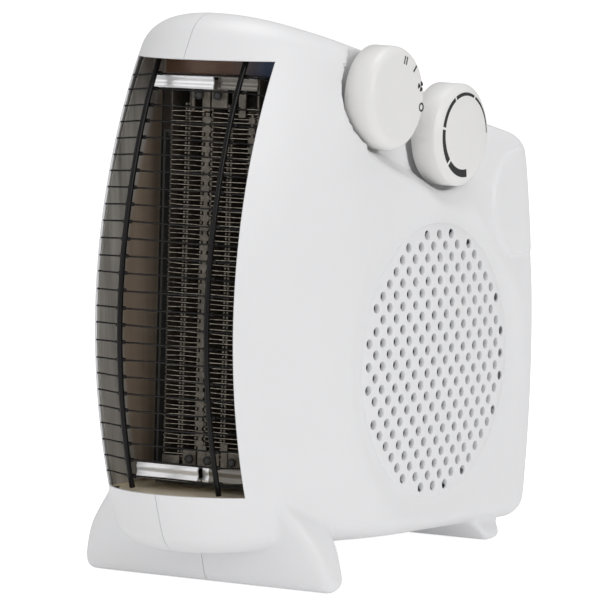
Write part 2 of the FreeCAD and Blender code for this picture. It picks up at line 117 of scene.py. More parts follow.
def line_field(u, v, start, end):
    """Signed distance to the line from start to end, positive on its left."""
    du, dv = end[0] - start[0], end[1] - start[1]
    length = math.hypot(du, dv)
    return ((v - start[1]) * du - (u - start[0]) * dv) / length


def nose_field(x, y, z):
    """Round the nose axis: nose arc, side arcs and flat sides, each tangent to the next."""
    sine = OPEN_HALF / NOSE_ROUND
    cosine = math.sqrt(1 - sine * sine)
    side_round = (CASE_HALF - OPEN_HALF) / (1 - sine)
    nose_centre = NOSE_REACH - NOSE_ROUND
    side_centre = nose_centre + (NOSE_ROUND - side_round) * cosine
    side_x = CASE_HALF - side_round
    across = np.abs(x)
    reach = np.hypot(y - NOSE_Y, z - NOSE_Z)
    nose = np.hypot(across, reach - nose_centre) - NOSE_ROUND
    side = np.hypot(across - side_x, reach - side_centre) - side_round
    flat = across - CASE_HALF
    in_nose = across * cosine < (reach - nose_centre) * sine
    return np.where(reach <= side_centre, flat, np.where(in_nose, nose, side))


TOP_SLOPE = 0.3344
TOP_AT = (-73.0, 144.6)
EDGE_ROUND = 14.0


def floor_height(y, z):
    """Height above the floor the heater stands on."""
    return z * math.cos(LEAN) - y * math.sin(LEAN) + FLOOR_DROP


def foot_field(x, y, z, front, corner):
    """A foot bar: raked front face, back face, cheeks that widen downwards, level underneath."""
    rake, heel = front
    across = np.abs(x)
    faces = -line_field(y, z, *rake)
    back = -line_field(y, z, *heel)
    cheek = np.maximum(line_field(across, z, (64.4, -120), (64.4, -90)) * -1,
                       line_field(across, z, (64.6, -89), (60.2, -74)) * -1)
    cheek = np.logaddexp(cheek * 0.6, -0.6 * line_field(across, z, (60.2, -74), (43.4, -54))) / 0.6
    cheek = round_max(cheek, -floor_height(y, z), 5)
    bar = round_max(faces, cheek, corner * 0.7)
    bar = round_max(bar, round_max(back, cheek, corner * 1.3), 2)
    return round_max(bar, -floor_height(y, z), 2)


WELLS = {"function": 23.8, "thermostat": 24.6}
WELL_FLOOR, PANEL_DEPTH = 47.8, 10.8


def knob_room(x, y, z):
    """The room the knobs stand in: a panel that slopes in from its edge, and a deeper round well
    about each knob. The slope is steep at the front and gentle behind."""
    soft = step(y, -10, 25)
    low = -line_field(y, z, (-62, 91.0), (2, 69.2))
    rear = -line_field(y, z, (20, 65.4), (62.4, 92.6))
    inside = -round_max(round_max(low, rear, 16), -(y + 61), 3)
    rise = 1.3 - 0.75 * soft
    floor_x = CASE_HALF - np.minimum(rise * inside, PANEL_DEPTH)
    room = (floor_x - x) / np.sqrt(1 + rise * rise)
    for dial, (y0, z0) in KNOBS.items():
        well = round_max(np.hypot(y - y0, z - z0) - WELLS[dial], WELL_FLOOR - x, 1.2)
        room = np.minimum(room, well)
    return room


def outer_field(x, y, z):
    """The casing's outside, with feet, dishes and the knobs' room."""
    top = (z - TOP_AT[1] + TOP_SLOPE * (y - TOP_AT[0])) / math.hypot(1, TOP_SLOPE)
    rear = np.hypot(y + 364.4, z + 6) - 450
    under = np.minimum(-75.3 - z, (-75.3 - z + (y + 60) * 0.1) / 1.005)
    body = round_max(nose_field(x, y, z), top, EDGE_ROUND - 8 * step(y, 15, 50))
    body = round_max(body, rear, 9)
    body = round_max(body, under, 10)
    reach = np.hypot(y, z)
    dish = DISH_DEPTH * (1 - step(reach, 62, DISH_RADIUS))
    ear = np.hypot(y - 68, z - 67)
    dish = np.maximum(dish, 1.9 * step(ear, 23.6, 24.6) * (1 - step(ear, 25, 50)) * (x > 0))
    body = round_max(body, np.abs(x) - (CASE_HALF - dish), 1.0)
    front = foot_field(x, y, z, (((-98.5, -52), (-84.2, -98)), ((-71, -98), (-66, -60))), 8)
    back = foot_field(x, y, z, (((20, -56), (50, -85)), ((60, -98), (62, -60))), 4)
    body = round_min(body, front, 1.5)
    body = round_min(body, back, 3)
    right = round_max(body, -knob_room(x, y, z), 1.0 + 6 * step(y, -20, 25))
    return np.where(x > 40, right, body)


def is_opening(point):
    """True in the outlet window, behind the inlet discs and round the spindles."""
    x, y, z = point
    if OPEN_LEFT < x < OPEN_HALF and OPEN_LOW < z < OPEN_HIGH and y < -60:
        return True
    if abs(x) > 59 and math.hypot(y, z) < DISC_RADIUS - 1.5:
        return True
    return 46 < x < 50 and min(math.hypot(y - y0, z - z0) for y0, z0 in KNOBS.values()) < 6


# ---------------------------------------------------------------- surface nets
def surface_net(field, low, high, pitch):
    """Mesh of field = 0 between two corners: one point in each grid cell that the surface crosses,
    moved on to the surface, and one quad for each grid edge that it crosses."""
    axes = [np.arange(a, b + pitch, pitch, dtype=np.float32) for a, b in zip(low, high)]
    values = np.concatenate([field(*np.meshgrid(part, axes[1], axes[2], indexing="ij"))
                             for part in np.array_split(axes[0], 8)])
    quads, points = [], []
    for axis in range(3):
        ends = [tuple(slice(s, values.shape[axis] - 1 + s) if d == axis else slice(None)
                      for d in range(3)) for s in (0, 1)]
        near, far = values[ends[0]], values[ends[1]]
        edge = np.argwhere((near < 0) != (far < 0))
        first, second = near[tuple(edge.T)], far[tuple(edge.T)]
        spot = edge.astype(float)
        spot[:, axis] += first / (first - second)
        u, v = (axis + 1) % 3, (axis + 2) % 3
        corners = []
        for du, dv in ((0, 0), (-1, 0), (-1, -1), (0, -1)):
            cell = edge.copy()
            cell[:, u] += du
            cell[:, v] += dv
            corners.append(np.ravel_multi_index(cell.T, values.shape))
        corners = np.stack(corners, 1)
        corners[first > 0] = corners[first > 0][:, ::-1]
        quads.append(corners)
        points.append(np.repeat(spot, 4, axis=0))
    quads, points = np.concatenate(quads), np.concatenate(points)
    cells, index = np.unique(quads, return_inverse=True)
    index = index.ravel()
    count = np.bincount(index)
    verts = np.stack([np.bincount(index, points[:, d]) / count for d in range(3)], 1)
    verts = verts * pitch + np.array([a[0] for a in axes])
    small = 0.05
    for _ in range(3):
        value = field(*verts.T)
        slope = np.stack([field(*(verts + small * np.eye(3)[d]).T) - value for d in range(3)], 1) / small
        move = value / np.maximum((slope ** 2).sum(1), 0.25)
        verts = verts - np.clip(move, -0.4 * pitch, 0.4 * pitch)[:, None] * slope
    return verts, index.reshape(-1, 4)


# ---------------------------------------------------------------- materials
def material(name, color, roughness, metallic=0.0, **sockets):
    made = bpy.data.materials.new(name)
    made.use_nodes = True
    shader = made.node_tree.nodes["Principled BSDF"]
    shader.inputs["Base Color"].default_value = (*color, 1)
    shader.inputs["Roughness"].default_value = roughness
    shader.inputs["Metallic"].default_value = metallic
    for key, value in sockets.items():
        shader.inputs[key.replace("_", " ")].default_value = value
    return made


def node(made, kind, **values):
    new = made.node_tree.nodes.new(kind)
    for key, value in values.items():
        if key in new.inputs:
            new.inputs[key].default_value = value
        else:
            setattr(new, key, value)
    return new


def noise(made, scale, detail=3.0, roughness=0.5, stretch=(1, 1, 1)):
    """Noise in object space, in metres, optionally stretched along the axes."""
    place = node(made, "ShaderNodeTexCoord")
    shape = node(made, "ShaderNodeMapping")
    shape.inputs["Scale"].default_value = stretch
    grain = node(made, "ShaderNodeTexNoise", Scale=scale, Detail=detail, Roughness=roughness)
    wire = made.node_tree.links.new
    wire(place.outputs["Object"], shape.inputs["Vector"])
    wire(shape.outputs["Vector"], grain.inputs["Vector"])
    return grain.outputs["Fac"]


def ramp(made, value, stops):
    blend = node(made, "ShaderNodeValToRGB")
    while len(blend.color_ramp.elements) < len(stops):
        blend.color_ramp.elements.new(0.5)
    for element, (place, color) in zip(blend.color_ramp.elements, stops):
        element.position = place
        element.color = (*color, 1)
    made.node_tree.links.new(value, blend.inputs["Fac"])
    return blend.outputs["Color"]


def range_of(made, value, low, high):
    new = node(made, "ShaderNodeMapRange")
    new.inputs["To Min"].default_value = low
    new.inputs["To Max"].default_value = high
    made.node_tree.links.new(value, new.inputs["Value"])
    return new.outputs["Result"]


def feed(made, value, socket):
    made.node_tree.links.new(value, made.node_tree.nodes["Principled BSDF"].inputs[socket])


def bump(made, height, strength, distance):
    new = node(made, "ShaderNodeBump", Strength=strength, Distance=distance)
    made.node_tree.links.new(height, new.inputs["Height"])
    feed(made, new.outputs["Normal"], "Normal")


def casing_point(made):
    """The shaded point in the casing frame, in metres."""
    place = node(made, "ShaderNodeTexCoord")
    upright = node(made, "ShaderNodeMapping", Rotation=(LEAN, 0, 0),
                   Location=Matrix.Rotation(LEAN, 3, "X") @ -FAN)
    made.node_tree.links.new(place.outputs["Object"], upright.inputs["Vector"])
    return upright.outputs["Vector"]


def share_between(made, value, low, high):
    """0 to 1 as a value in metres goes from low to high, which are in millimetres."""
    share = node(made, "ShaderNodeMapRange")
    share.inputs["From Min"].default_value = low / 1000
    share.inputs["From Max"].default_value = high / 1000
    made.node_tree.links.new(value, share.inputs["Value"])
    return share.outputs["Result"]


def along(made, axis, low, high):
    """0 to 1 while the shaded point goes from low to high along an axis of the casing frame."""
    parts = node(made, "ShaderNodeSeparateXYZ")
    made.node_tree.links.new(casing_point(made), parts.inputs["Vector"])
    return share_between(made, parts.outputs[axis], low, high)


def around_nose(made, low, high):
    """0 to 1 as the shaded point's distance from the nose axis goes from low to high."""
    flat = node(made, "ShaderNodeVectorMath", operation="MULTIPLY")
    flat.inputs[1].default_value = (0, 1, 1)
    reach = node(made, "ShaderNodeVectorMath", operation="DISTANCE")
    reach.inputs[1].default_value = (0, NOSE_Y / 1000, NOSE_Z / 1000)
    made.node_tree.links.new(casing_point(made), flat.inputs[0])
    made.node_tree.links.new(flat.outputs["Vector"], reach.inputs[0])
    return share_between(made, reach.outputs["Value"], low, high)


def mixed(made, share, first, second):
    """A blend of two colours, each a socket or three numbers."""
    blend = node(made, "ShaderNodeMix", data_type="RGBA")
    made.node_tree.links.new(share, blend.inputs[0])
    for socket, color in ((blend.inputs[6], first), (blend.inputs[7], second)):
        if isinstance(color, tuple):
            socket.default_value = (*color, 1)
        else:
            made.node_tree.links.new(color, socket)
    return blend.outputs[2]


def two_tone(made, value, dark, light):
    return ramp(made, value, [(0.3, dark), (0.65, light)])


def plastic(name, color, roughness, grain=900.0, depth=0.00003, tint=None):
    """A dull material with a fine grain; tint(material), if given, makes its colour."""
    made = material(name, color, roughness)
    dark = tuple(c * 0.985 for c in color)
    base = tint(made) if tint else ramp(made, noise(made, 22, 2), [(0.3, dark), (0.7, color)])
    feed(made, base, "Base Color")
    feed(made, range_of(made, noise(made, 160, 3), roughness - 0.05, roughness + 0.06), "Roughness")
    bump(made, noise(made, grain, 2), 0.25, depth)
    return made


def metal(name, light, dark, roughness, stretch=(1, 1, 1), scale=120, metallic=1.0, tint=None):
    """A streaked metal; tint(material, streaks), if given, makes its colour."""
    made = material(name, light, roughness, metallic)
    streak = noise(made, scale, 4, 0.6, stretch)
    feed(made, tint(made, streak) if tint else two_tone(made, streak, dark, light), "Base Color")
    feed(made, range_of(made, streak, roughness - 0.08, roughness + 0.12), "Roughness")
    bump(made, streak, 0.4, 0.00005)
    return made


SHEET_LIGHT, SHEET_DARK = (0.60, 0.575, 0.53), (0.27, 0.25, 0.22)
PLATED_LIGHT, PLATED_DARK = (0.93, 0.93, 0.94), (0.72, 0.72, 0.74)


def sheet_tint(made, streak):
    """Grey in front and browned further in, with a lighter line near the back that is a painted highlight and
    painted shade, near black, behind it; heat-tinted brown to blue at the top; a bright tan at the bottom that is
    a painted reflection of the boards and painted light.
    """
    grey = two_tone(made, streak, SHEET_DARK, SHEET_LIGHT)
    brown = two_tone(made, streak, (0.33, 0.25, 0.185), (0.42, 0.33, 0.25))
    # painted highlight: a lighter line across the walls just before their back ends
    corner = mixed(made, along(made, "Y", -74.8, -74.2), brown, (0.42, 0.37, 0.30))
    # painted shade: near black behind the highlight line, on the walls' back ends and the back plate
    behind = mixed(made, along(made, "Y", -73.7, -73.3), corner, (0.05, 0.042, 0.035))
    walls = mixed(made, around_nose(made, 210.5, 208), grey, behind)
    heat = mixed(made, along(made, "X", -2, 16), (0.20, 0.11, 0.065), (0.02, 0.05, 0.12))
    heated = mixed(made, along(made, "Z", 117, 122), walls, heat)
    color = mixed(made, along(made, "X", -36.2, -35), walls, heated)
    # painted reflection of the boards and painted light: the bottom plate is coloured bright tan
    return mixed(made, along(made, "Z", -54.2, -55), color, (0.93, 0.83, 0.64))


def mica_tint(made):
    """Dark and flaky, paler at the front edges; those far to the left stay dark as painted shade."""
    flakes = noise(made, 260, 5, 0.7)
    dim = ramp(made, flakes, [(0.3, (0.022, 0.017, 0.012)), (0.7, (0.075, 0.06, 0.045))])
    pale = ramp(made, flakes, [(0.3, (0.07, 0.06, 0.046)), (0.7, (0.20, 0.175, 0.14))])
    edge = mixed(made, along(made, "Y", -90.2, -91.0), dim, pale)
    # painted shade: front edges far to the left keep the dark colour
    return mixed(made, along(made, "X", -18, -13), dim, edge)


def bracket_tint(made, streak):
    """Bright, but much darker over the right-hand part."""
    bright = two_tone(made, streak, PLATED_DARK, PLATED_LIGHT)
    dull = two_tone(made, streak, (0.13, 0.12, 0.105), (0.24, 0.22, 0.20))
    return mixed(made, along(made, "X", 4.8, 5.2), bright, dull)


WHITE = plastic("moulded_white", (0.80, 0.80, 0.81), 0.38)
KNOB_WHITE = plastic("knob_white", (0.80, 0.795, 0.78), 0.36)
BLACK_PRINT = plastic("black_print", (0.004, 0.004, 0.004), 0.5)
BLACK_WIRE = plastic("coated_wire", (0.006, 0.005, 0.005), 0.24, 1400, 0.00003)
BLACK_WIRE.node_tree.nodes["Principled BSDF"].inputs["Specular IOR Level"].default_value = 0.2
GREY = plastic("heat_moulding", (0.10, 0.10, 0.095), 0.5)
DARK = plastic("dark_moulding", (0.02, 0.02, 0.02), 0.45)
CERAMIC = plastic("glazed_ceramic", (0.72, 0.69, 0.62), 0.25)
NICHROME = metal("nichrome", (0.50, 0.45, 0.38), (0.10, 0.085, 0.07), 0.3, scale=500, metallic=0.85)
STEEL = metal("plated_steel", (0.62, 0.62, 0.63), (0.42, 0.42, 0.44), 0.3)
LAMINATED = metal("laminations", (0.22, 0.22, 0.23), (0.10, 0.10, 0.105), 0.5, (14, 1, 1), 90)
COPPER = metal("copper_winding", (0.65, 0.30, 0.14), (0.40, 0.16, 0.07), 0.35, (1, 1, 12), 160)
BRASS = metal("brass", (0.75, 0.58, 0.28), (0.55, 0.40, 0.18), 0.3)
SHEET = metal("bright_sheet", SHEET_LIGHT, SHEET_DARK, 0.34, (1, 1, 0.05), 190, 0.25, sheet_tint)
BRIGHT = metal("bracket_steel", PLATED_LIGHT, PLATED_DARK, 0.32, (0.1, 1, 1), 300, 0.5, bracket_tint)
MICA = plastic("mica_board", (0.06, 0.05, 0.035), 0.6, 1500, 0.0001, mica_tint)

BY_SLOT = {
    "white_shell": WHITE, "white_knob": KNOB_WHITE, "black_wire": BLACK_WIRE, "bright_sheet": SHEET,
    "grey_moulding": GREY, "mica": MICA, "resistance_wire": NICHROME, "fan_plastic": DARK,
    "steel": STEEL, "laminations": LAMINATED, "copper_winding": COPPER, "bronze": BRASS,
    "black_moulding": DARK, "brass_tab": BRASS, "porcelain": CERAMIC, "bimetal": STEEL,
    "lead_sleeve": CERAMIC,
}
for part in record["subparts"]:
    mesh = frame["nodes"][part["node"]].data
    mesh.materials.clear()
    mesh.materials.append(BY_SLOT[part["material_slot"]])


# ---------------------------------------------------------------- casing
def lip_share(x, y, z):
    """The wall's share of its full thickness, which thins toward the outlet's edges."""
    if y > -60:
        return 1.0
    away = math.hypot(max(x - OPEN_HALF, OPEN_LEFT - x, 0), max(z - OPEN_HIGH, OPEN_LOW - z, 0))
    return min(1.0, 0.28 + away / 7)


def half_shell(name, side, verts, faces):
    """The casing's wall on one side of the joint: cut there, opened, and given its thickness."""
    mesh = bpy.data.meshes.new(name)
    mesh.from_pydata([tuple(v) for v in verts], [], [tuple(int(i) for i in f) for f in faces])
    work = bmesh.new()
    work.from_mesh(mesh)
    for place, normal in (((OPEN_HALF, 0, 0), (1, 0, 0)), ((OPEN_LEFT, 0, 0), (1, 0, 0)),
                          ((0, 0, OPEN_LOW), (0, 0, 1)), ((0, 0, OPEN_HIGH), (0, 0, 1))):
        front = [f for f in work.faces if f.calc_center_median().y < -60]
        around = {part for f in front for part in (*f.verts, *f.edges)}
        bmesh.ops.bisect_plane(work, geom=[*around, *front], plane_co=place, plane_no=normal)
    openings = [f for f in work.faces if is_opening(f.calc_center_median())]
    bmesh.ops.delete(work, geom=openings, context="FACES")
    geometry = work.verts[:] + work.edges[:] + work.faces[:]
    bmesh.ops.bisect_plane(work, geom=geometry, plane_co=(side * SEAM, 0, 0), plane_no=(-side, 0, 0),
                           clear_outer=True)
    work.to_mesh(mesh)
    work.free()
    half = link(bpy.data.objects.new(name, mesh))
    thin = half.vertex_groups.new(name="thin_lip")
    for vertex in mesh.vertices:
        thin.add([vertex.index], lip_share(*vertex.co), "REPLACE")
    mesh.transform(TO_ROW)
    walls = half.modifiers.new("walls", "SOLIDIFY")
    walls.thickness = WALL / 1000
    walls.offset = -1
    walls.vertex_group = thin.name
    return smoothed(applied(half), 40)


def applied(obj):
    """The object with its modifiers applied."""
    shape = bpy.data.meshes.new_from_object(obj.evaluated_get(bpy.context.evaluated_depsgraph_get()))
    obj.modifiers.clear()
    obj.data = shape
    return obj


def smoothed(obj, angle):
    obj.data.shade_smooth()
    obj.data.set_sharp_from_angle(angle=math.radians(angle))
    return obj


PITCH = 1.5
verts, faces = surface_net(outer_field, (-67.1, -139.3, -97.7), (67.1, 90.7, 152.3), PITCH)
for name, side in (("shell_right", 1), ("shell_left", -1)):
    shell = half_shell("casing_" + name, side, verts, faces)
    finish_piece(shell, "casing", "white_shell", WHITE, name)


def inlet_disc(name, side):
    """A round grille let into the side wall: a shallow dome with staggered countersunk holes."""
    rings, spokes, thick = 14, 128, 2.0

    def dome(reach):
        return CASE_HALF - DISH_DEPTH + 0.25 + 2.2 * (1 - (reach / DISC_RADIUS) ** 2)

    profile = [(dome(0), 0.0)]
    profile += [(dome(DISC_RADIUS * i / rings), (DISC_RADIUS - 0.4) * i / rings)
                for i in range(1, rings + 1)]
    profile += [(dome(DISC_RADIUS) - 0.15, DISC_RADIUS - 0.1), (dome(DISC_RADIUS) - 0.6, DISC_RADIUS)]
    profile += [(dome(DISC_RADIUS) - 0.6, DISC_RADIUS - 3)]
    profile += [(dome(DISC_RADIUS * i / rings) - thick, (DISC_RADIUS - 4) * i / rings)
                for i in range(rings, 0, -1)]
    profile += [(dome(0) - thick, 0.0)]
    disc = lathe(name, profile, (0, 0), spokes, side)
    verts, faces = [], []
    sections = ((-thick - 1.5, 2.0), (-0.45, 2.0), (0.0, 2.25), (1.5, 2.9))
    sides = 20
    for row in range(-11, 12):
        for place in range(-11, 12):
            y, z = 5.0 * place, 5.0 * row
            reach = math.hypot(y, z)
            if (row + place) % 2 == 0 or reach > 57:
                continue
            first = len(verts)
            for dx, r in sections:
                for k in range(sides):
                    turn = math.tau * k / sides
                    verts.append((side * (dome(reach) + dx), y + r * math.cos(turn), z + r * math.sin(turn)))
            for ring in range(len(sections) - 1):
                for k in range(sides):
                    a, b = first + ring * sides + k, first + ring * sides + (k + 1) % sides
                    faces.append((a, b, b + sides, a + sides)[::side])
            faces.append(tuple(first + k for k in range(sides))[::-side])
            faces.append(tuple(first + (len(sections) - 1) * sides + k for k in range(sides))[::side])
    drills = mesh_object(name + "_drills", verts, faces, smooth=False)
    cut = disc.modifiers.new("holes", "BOOLEAN")
    cut.object = drills
    cut.operation = "DIFFERENCE"
    cut.solver = "EXACT"
    applied(disc)
    bpy.data.objects.remove(drills)
    return smoothed(disc, 40)


def lathe(name, profile, centre, spokes, side=1, smooth_angle=35):
    """A profile of (x, radius) points turned round an axis along X through centre (y, z)."""
    verts, faces = [], []
    rows = []
    for x, r in profile:
        if r < 1e-6:
            rows.append([len(verts)])
            verts.append((side * x, centre[0], centre[1]))
            continue
        rows.append(list(range(len(verts), len(verts) + spokes)))
        for k in range(spokes):
            turn = math.tau * k / spokes
            verts.append((side * x, centre[0] + r * math.cos(turn), centre[1] + r * math.sin(turn)))
    for low, high in zip(rows[:-1], rows[1:]):
        for k in range(spokes):
            ring = [low[k % len(low)], low[(k + 1) % len(low)],
                    high[(k + 1) % len(high)], high[k % len(high)]]
            face = tuple(dict.fromkeys(ring))
            if len(face) > 2:
                faces.append(face[::-side])
    return mesh_object(name, verts, faces, angle=smooth_angle)


for name, side in (("inlet_grille_right", 1), ("inlet_grille_left", -1)):
    finish_piece(inlet_disc("disc_" + name, side), "casing", "white_shell", WHITE, name)


# ---------------------------------------------------------------- knobs
def prism(verts, faces, outline, low, high):
    """A closed prism along X over a counter-clockwise (y, z) outline."""
    first, count = len(verts), len(outline)
    verts += [(low, y, z) for y, z in outline] + [(high, y, z) for y, z in outline]
    faces.append(tuple(first + count + k for k in range(count)))
    faces.append(tuple(first + k for k in reversed(range(count))))
    for k in range(count):
        a, b = first + k, first + (k + 1) % count
        faces.append((a, b, b + count, a + count))


def around(centre, radius, angle):
    """The point at a radius and an angle, from +Z toward +Y, about a centre (y, z)."""
    turn = math.radians(angle)
    return centre[0] + radius * math.sin(turn), centre[1] + radius * math.cos(turn)


def band(centre, inner, outer, start, end, steps):
    """Quads of a ring between two angles from +Z toward +Y; each radius is a number or a function."""
    quads = []
    for k in range(steps):
        corners = []
        for turn, reach in ((start, inner), (start, outer), (end, outer), (end, inner)):
            share = k / steps if turn == start else (k + 1) / steps
            angle = start + (end - start) * share
            corners.append(around(centre, reach(angle) if callable(reach) else reach, angle))
        quads.append(corners)
    return quads


def stroke(centre, radius, angle, along, across, shift=0.0):
    """A short bar printed at an angle from +Z toward +Y, with its length along the radius."""
    a = math.radians(angle)
    out, side = (math.sin(a), math.cos(a)), (math.cos(a), -math.sin(a))
    return [(centre[0] + out[0] * (radius + u * along / 2) + side[0] * (shift + v * across / 2),
             centre[1] + out[1] * (radius + u * along / 2) + side[1] * (shift + v * across / 2))
            for u, v in ((-1, -1), (1, -1), (1, 1), (-1, 1))]


def dial(name, dial_name, profile, marks, node_name):
    """A knob turned from its profile, with printed marks a hair proud of its face."""
    centre = KNOBS[dial_name]
    knob = lathe(name, profile, centre, 160, smooth_angle=50)
    finish_piece(knob, dial_name + "_dial", "white_knob", KNOB_WHITE, node_name)
    verts, faces = [], []
    for outline in marks:
        area = sum(a[0] * b[1] - b[0] * a[1] for a, b in zip(outline, outline[1:] + outline[:1]))
        prism(verts, faces, outline if area > 0 else outline[::-1], KNOB_FACE - 0.05, KNOB_FACE + 0.04)
    marks = mesh_object(name + "_marks", verts, faces, smooth=False)
    return finish_piece(marks, dial_name + "_dial", "black_wire", BLACK_PRINT)


KNOB_BACK, KNOB_FACE, KNOB_RADIUS = 52.8, 66.8, 22.5


def rim_arc(radius, reach):
    """The rounded front rim of a knob, from its side to its face."""
    return [(KNOB_FACE - reach + reach * math.sin(t), radius - reach + reach * math.cos(t))
            for t in (math.radians(9 * k) for k in range(11))]


def function_knob():
    """A knob with a full round rim, marked II, I, fan and zero."""
    centre = KNOBS["function"]
    profile = [(KNOB_BACK, 0), (KNOB_BACK, KNOB_RADIUS - 0.6), (KNOB_BACK + 0.6, KNOB_RADIUS)]
    profile += rim_arc(KNOB_RADIUS - 0.2, 4.6) + [(KNOB_FACE, 9), (KNOB_FACE, 0)]
    marks = [stroke(centre, 16.6, 15, 3.5, 0.85, -0.85), stroke(centre, 16.6, 15, 3.5, 0.85, 0.85),
             stroke(centre, 17.2, 44, 3.5, 0.9)]
    fan, zero = around(centre, 17.5, 74), around(centre, 18.3, 103)
    for k in range(3):
        marks += band(fan, 0.3, 2.2, 120 * k, 120 * k + 78, 5)
    marks += band(zero, 1.2, 2.0, 0, 360, 32)
    dial("knob_function", "function", profile, marks, "function_knob")


def thermostat_knob():
    """A knob with a bevelled rim, marked with a broken arc that widens as it goes round."""
    centre = KNOBS["thermostat"]
    profile = [(KNOB_BACK, 0), (KNOB_BACK, KNOB_RADIUS - 0.6), (KNOB_BACK + 0.6, KNOB_RADIUS),
               (KNOB_FACE - 2.6, KNOB_RADIUS - 0.1), (KNOB_FACE - 2.0, KNOB_RADIUS - 0.45),
               (KNOB_FACE - 0.5, 20.0), (KNOB_FACE - 0.12, 19.5), (KNOB_FACE, 19.0),
               (KNOB_FACE, 9), (KNOB_FACE, 0)]
    marks = []
    arc_radius, first, last = 18.5, 88, -188

    def inner(angle):
        return arc_radius - 0.55 - 2.9 * (first - angle) / (first - last)

    for start, end in ((first, 27), (23.5, -25), (-28.5, -78), (-81.5, -131), (-135, last)):
        marks += band(centre, inner, arc_radius, start, end, 12)
    dial("knob_thermostat", "thermostat", profile, marks, "thermostat_knob")


function_knob()
thermostat_knob()


# ---------------------------------------------------------------- outlet grille
GRILLE_REACH = 233.0
BARS = (-22.2, 22.2)
WIRE_COUNT, FIRST_TURN, WIRE_TURN = 25, -17.43, 1.808
WIRE_RADIUS, WELD_RADIUS, BAR_RADIUS = 0.38, 0.9, 1.22


def tube(verts, faces, path, radius, sides=8):
    """A round wire along a path of (x, y, z) points, closed at both ends."""
    first = len(verts)
    path = [Vector(p) for p in path]
    for i, point in enumerate(path):
        ahead = (path[min(i + 1, len(path) - 1)] - path[max(i - 1, 0)]).normalized()
        level = ahead.cross(Vector((0, 1, 0.2))).normalized()
        other = ahead.cross(level)
        for k in range(sides):
            turn = math.tau * k / sides
            verts.append(tuple(point + radius * (math.cos(turn) * level + math.sin(turn) * other)))
    for i in range(len(path) - 1):
        for k in range(sides):
            a, b = first + i * sides + k, first + i * sides + (k + 1) % sides
            faces.append((a, b, b + sides, a + sides))
    faces.append(tuple(first + k for k in reversed(range(sides))))
    faces.append(tuple(first + (len(path) - 1) * sides + k for k in range(sides)))


def on_ring(x, reach, z):
    """The point at this x and height on the front of a ring about the nose axis."""
    return (x, NOSE_Y - math.sqrt(reach * reach - (z - NOSE_Z) ** 2), z)


def outlet_grille():
    """Thin level wires, at equal turns round the nose axis, welded behind two upright bars."""
    verts, faces = [], []
    random.seed(4)
    for i in range(WIRE_COUNT):
        turn = math.radians(FIRST_TURN + WIRE_TURN * i + random.uniform(-0.03, 0.03))
        tilt = random.uniform(-0.006, 0.006)
        path = []
        for x in (-37.2, -33, -28, -22.2, -14, -7, 0, 7, 14, 22.2, 28, 34.9):
            reach = GRILLE_REACH - 3.0 * float(step(abs(x), 22, 38))
            bend = tilt * x + 0.12 * math.cos(x / 9 + i)
            path.append((x, NOSE_Y - reach * math.cos(turn), NOSE_Z + reach * math.sin(turn) + bend))
        tube(verts, faces, path, WIRE_RADIUS)
        y, z = NOSE_Y - GRILLE_REACH * math.cos(turn), NOSE_Z + GRILLE_REACH * math.sin(turn)
        for x in BARS:
            weld = [(x - 2.2, y, z - 0.1), (x - 1.3, y - 0.5, z + 0.15), (x + 1.3, y - 0.5, z + 0.15),
                    (x + 2.0, y, z)]
            tube(verts, faces, weld, WELD_RADIUS)
    for x in BARS:
        path = [on_ring(x, GRILLE_REACH + 1.3 + 1.5 * float(step(z, 60, 130)), z)
                for z in np.linspace(OPEN_LOW + 0.3, OPEN_HIGH - 0.3, 60)]
        tube(verts, faces, path, BAR_RADIUS, 12)
    grille = mesh_object("grille_wires", verts, faces, angle=60)
    finish_piece(grille, "casing", "black_wire", BLACK_WIRE, "front_grille")


outlet_grille()


# ---------------------------------------------------------------- duct and heating element
def slab(verts, faces, low, high):
    """A plain block, as one part of a piece."""
    prism(verts, faces, [(low[1], low[2]), (high[1], low[2]), (high[1], high[2]), (low[1], high[2])],
          low[0], high[0])


def sheet_form(verts, faces, grid, across):
    """A thin sheet over a grid of points, thickened by the across vector."""
    rows, columns = len(grid), len(grid[0])
    first = len(verts)
    for row in grid:
        verts += [tuple(p) for p in row]
    for row in grid:
        verts += [tuple(a + b for a, b in zip(p, across)) for p in row]
    count = rows * columns

    def at(i, j):
        return first + i * columns + j

    for i in range(rows - 1):
        for j in range(columns - 1):
            quad = (at(i, j), at(i, j + 1), at(i + 1, j + 1), at(i + 1, j))
            faces.append(quad)
            faces.append(tuple(k + count for k in reversed(quad)))
    border = [at(0, j) for j in range(columns)]
    border += [at(i, columns - 1) for i in range(1, rows)]
    border += [at(rows - 1, j) for j in range(columns - 2, -1, -1)]
    border += [at(i, 0) for i in range(rows - 2, 0, -1)]
    for a, b in zip(border, border[1:] + border[:1]):
        faces.append((b, a, a + count, b + count))


DUCT_BACK, DUCT_LOW, DUCT_HIGH, DUCT_HALF = -72.0, -55.4, 131.4, 36.4
DUCT_FLARE, DUCT_DEPTH, SHEET_THICK = 38.6, 48.0, 0.6
SCROLL_MOUTH = 98.0


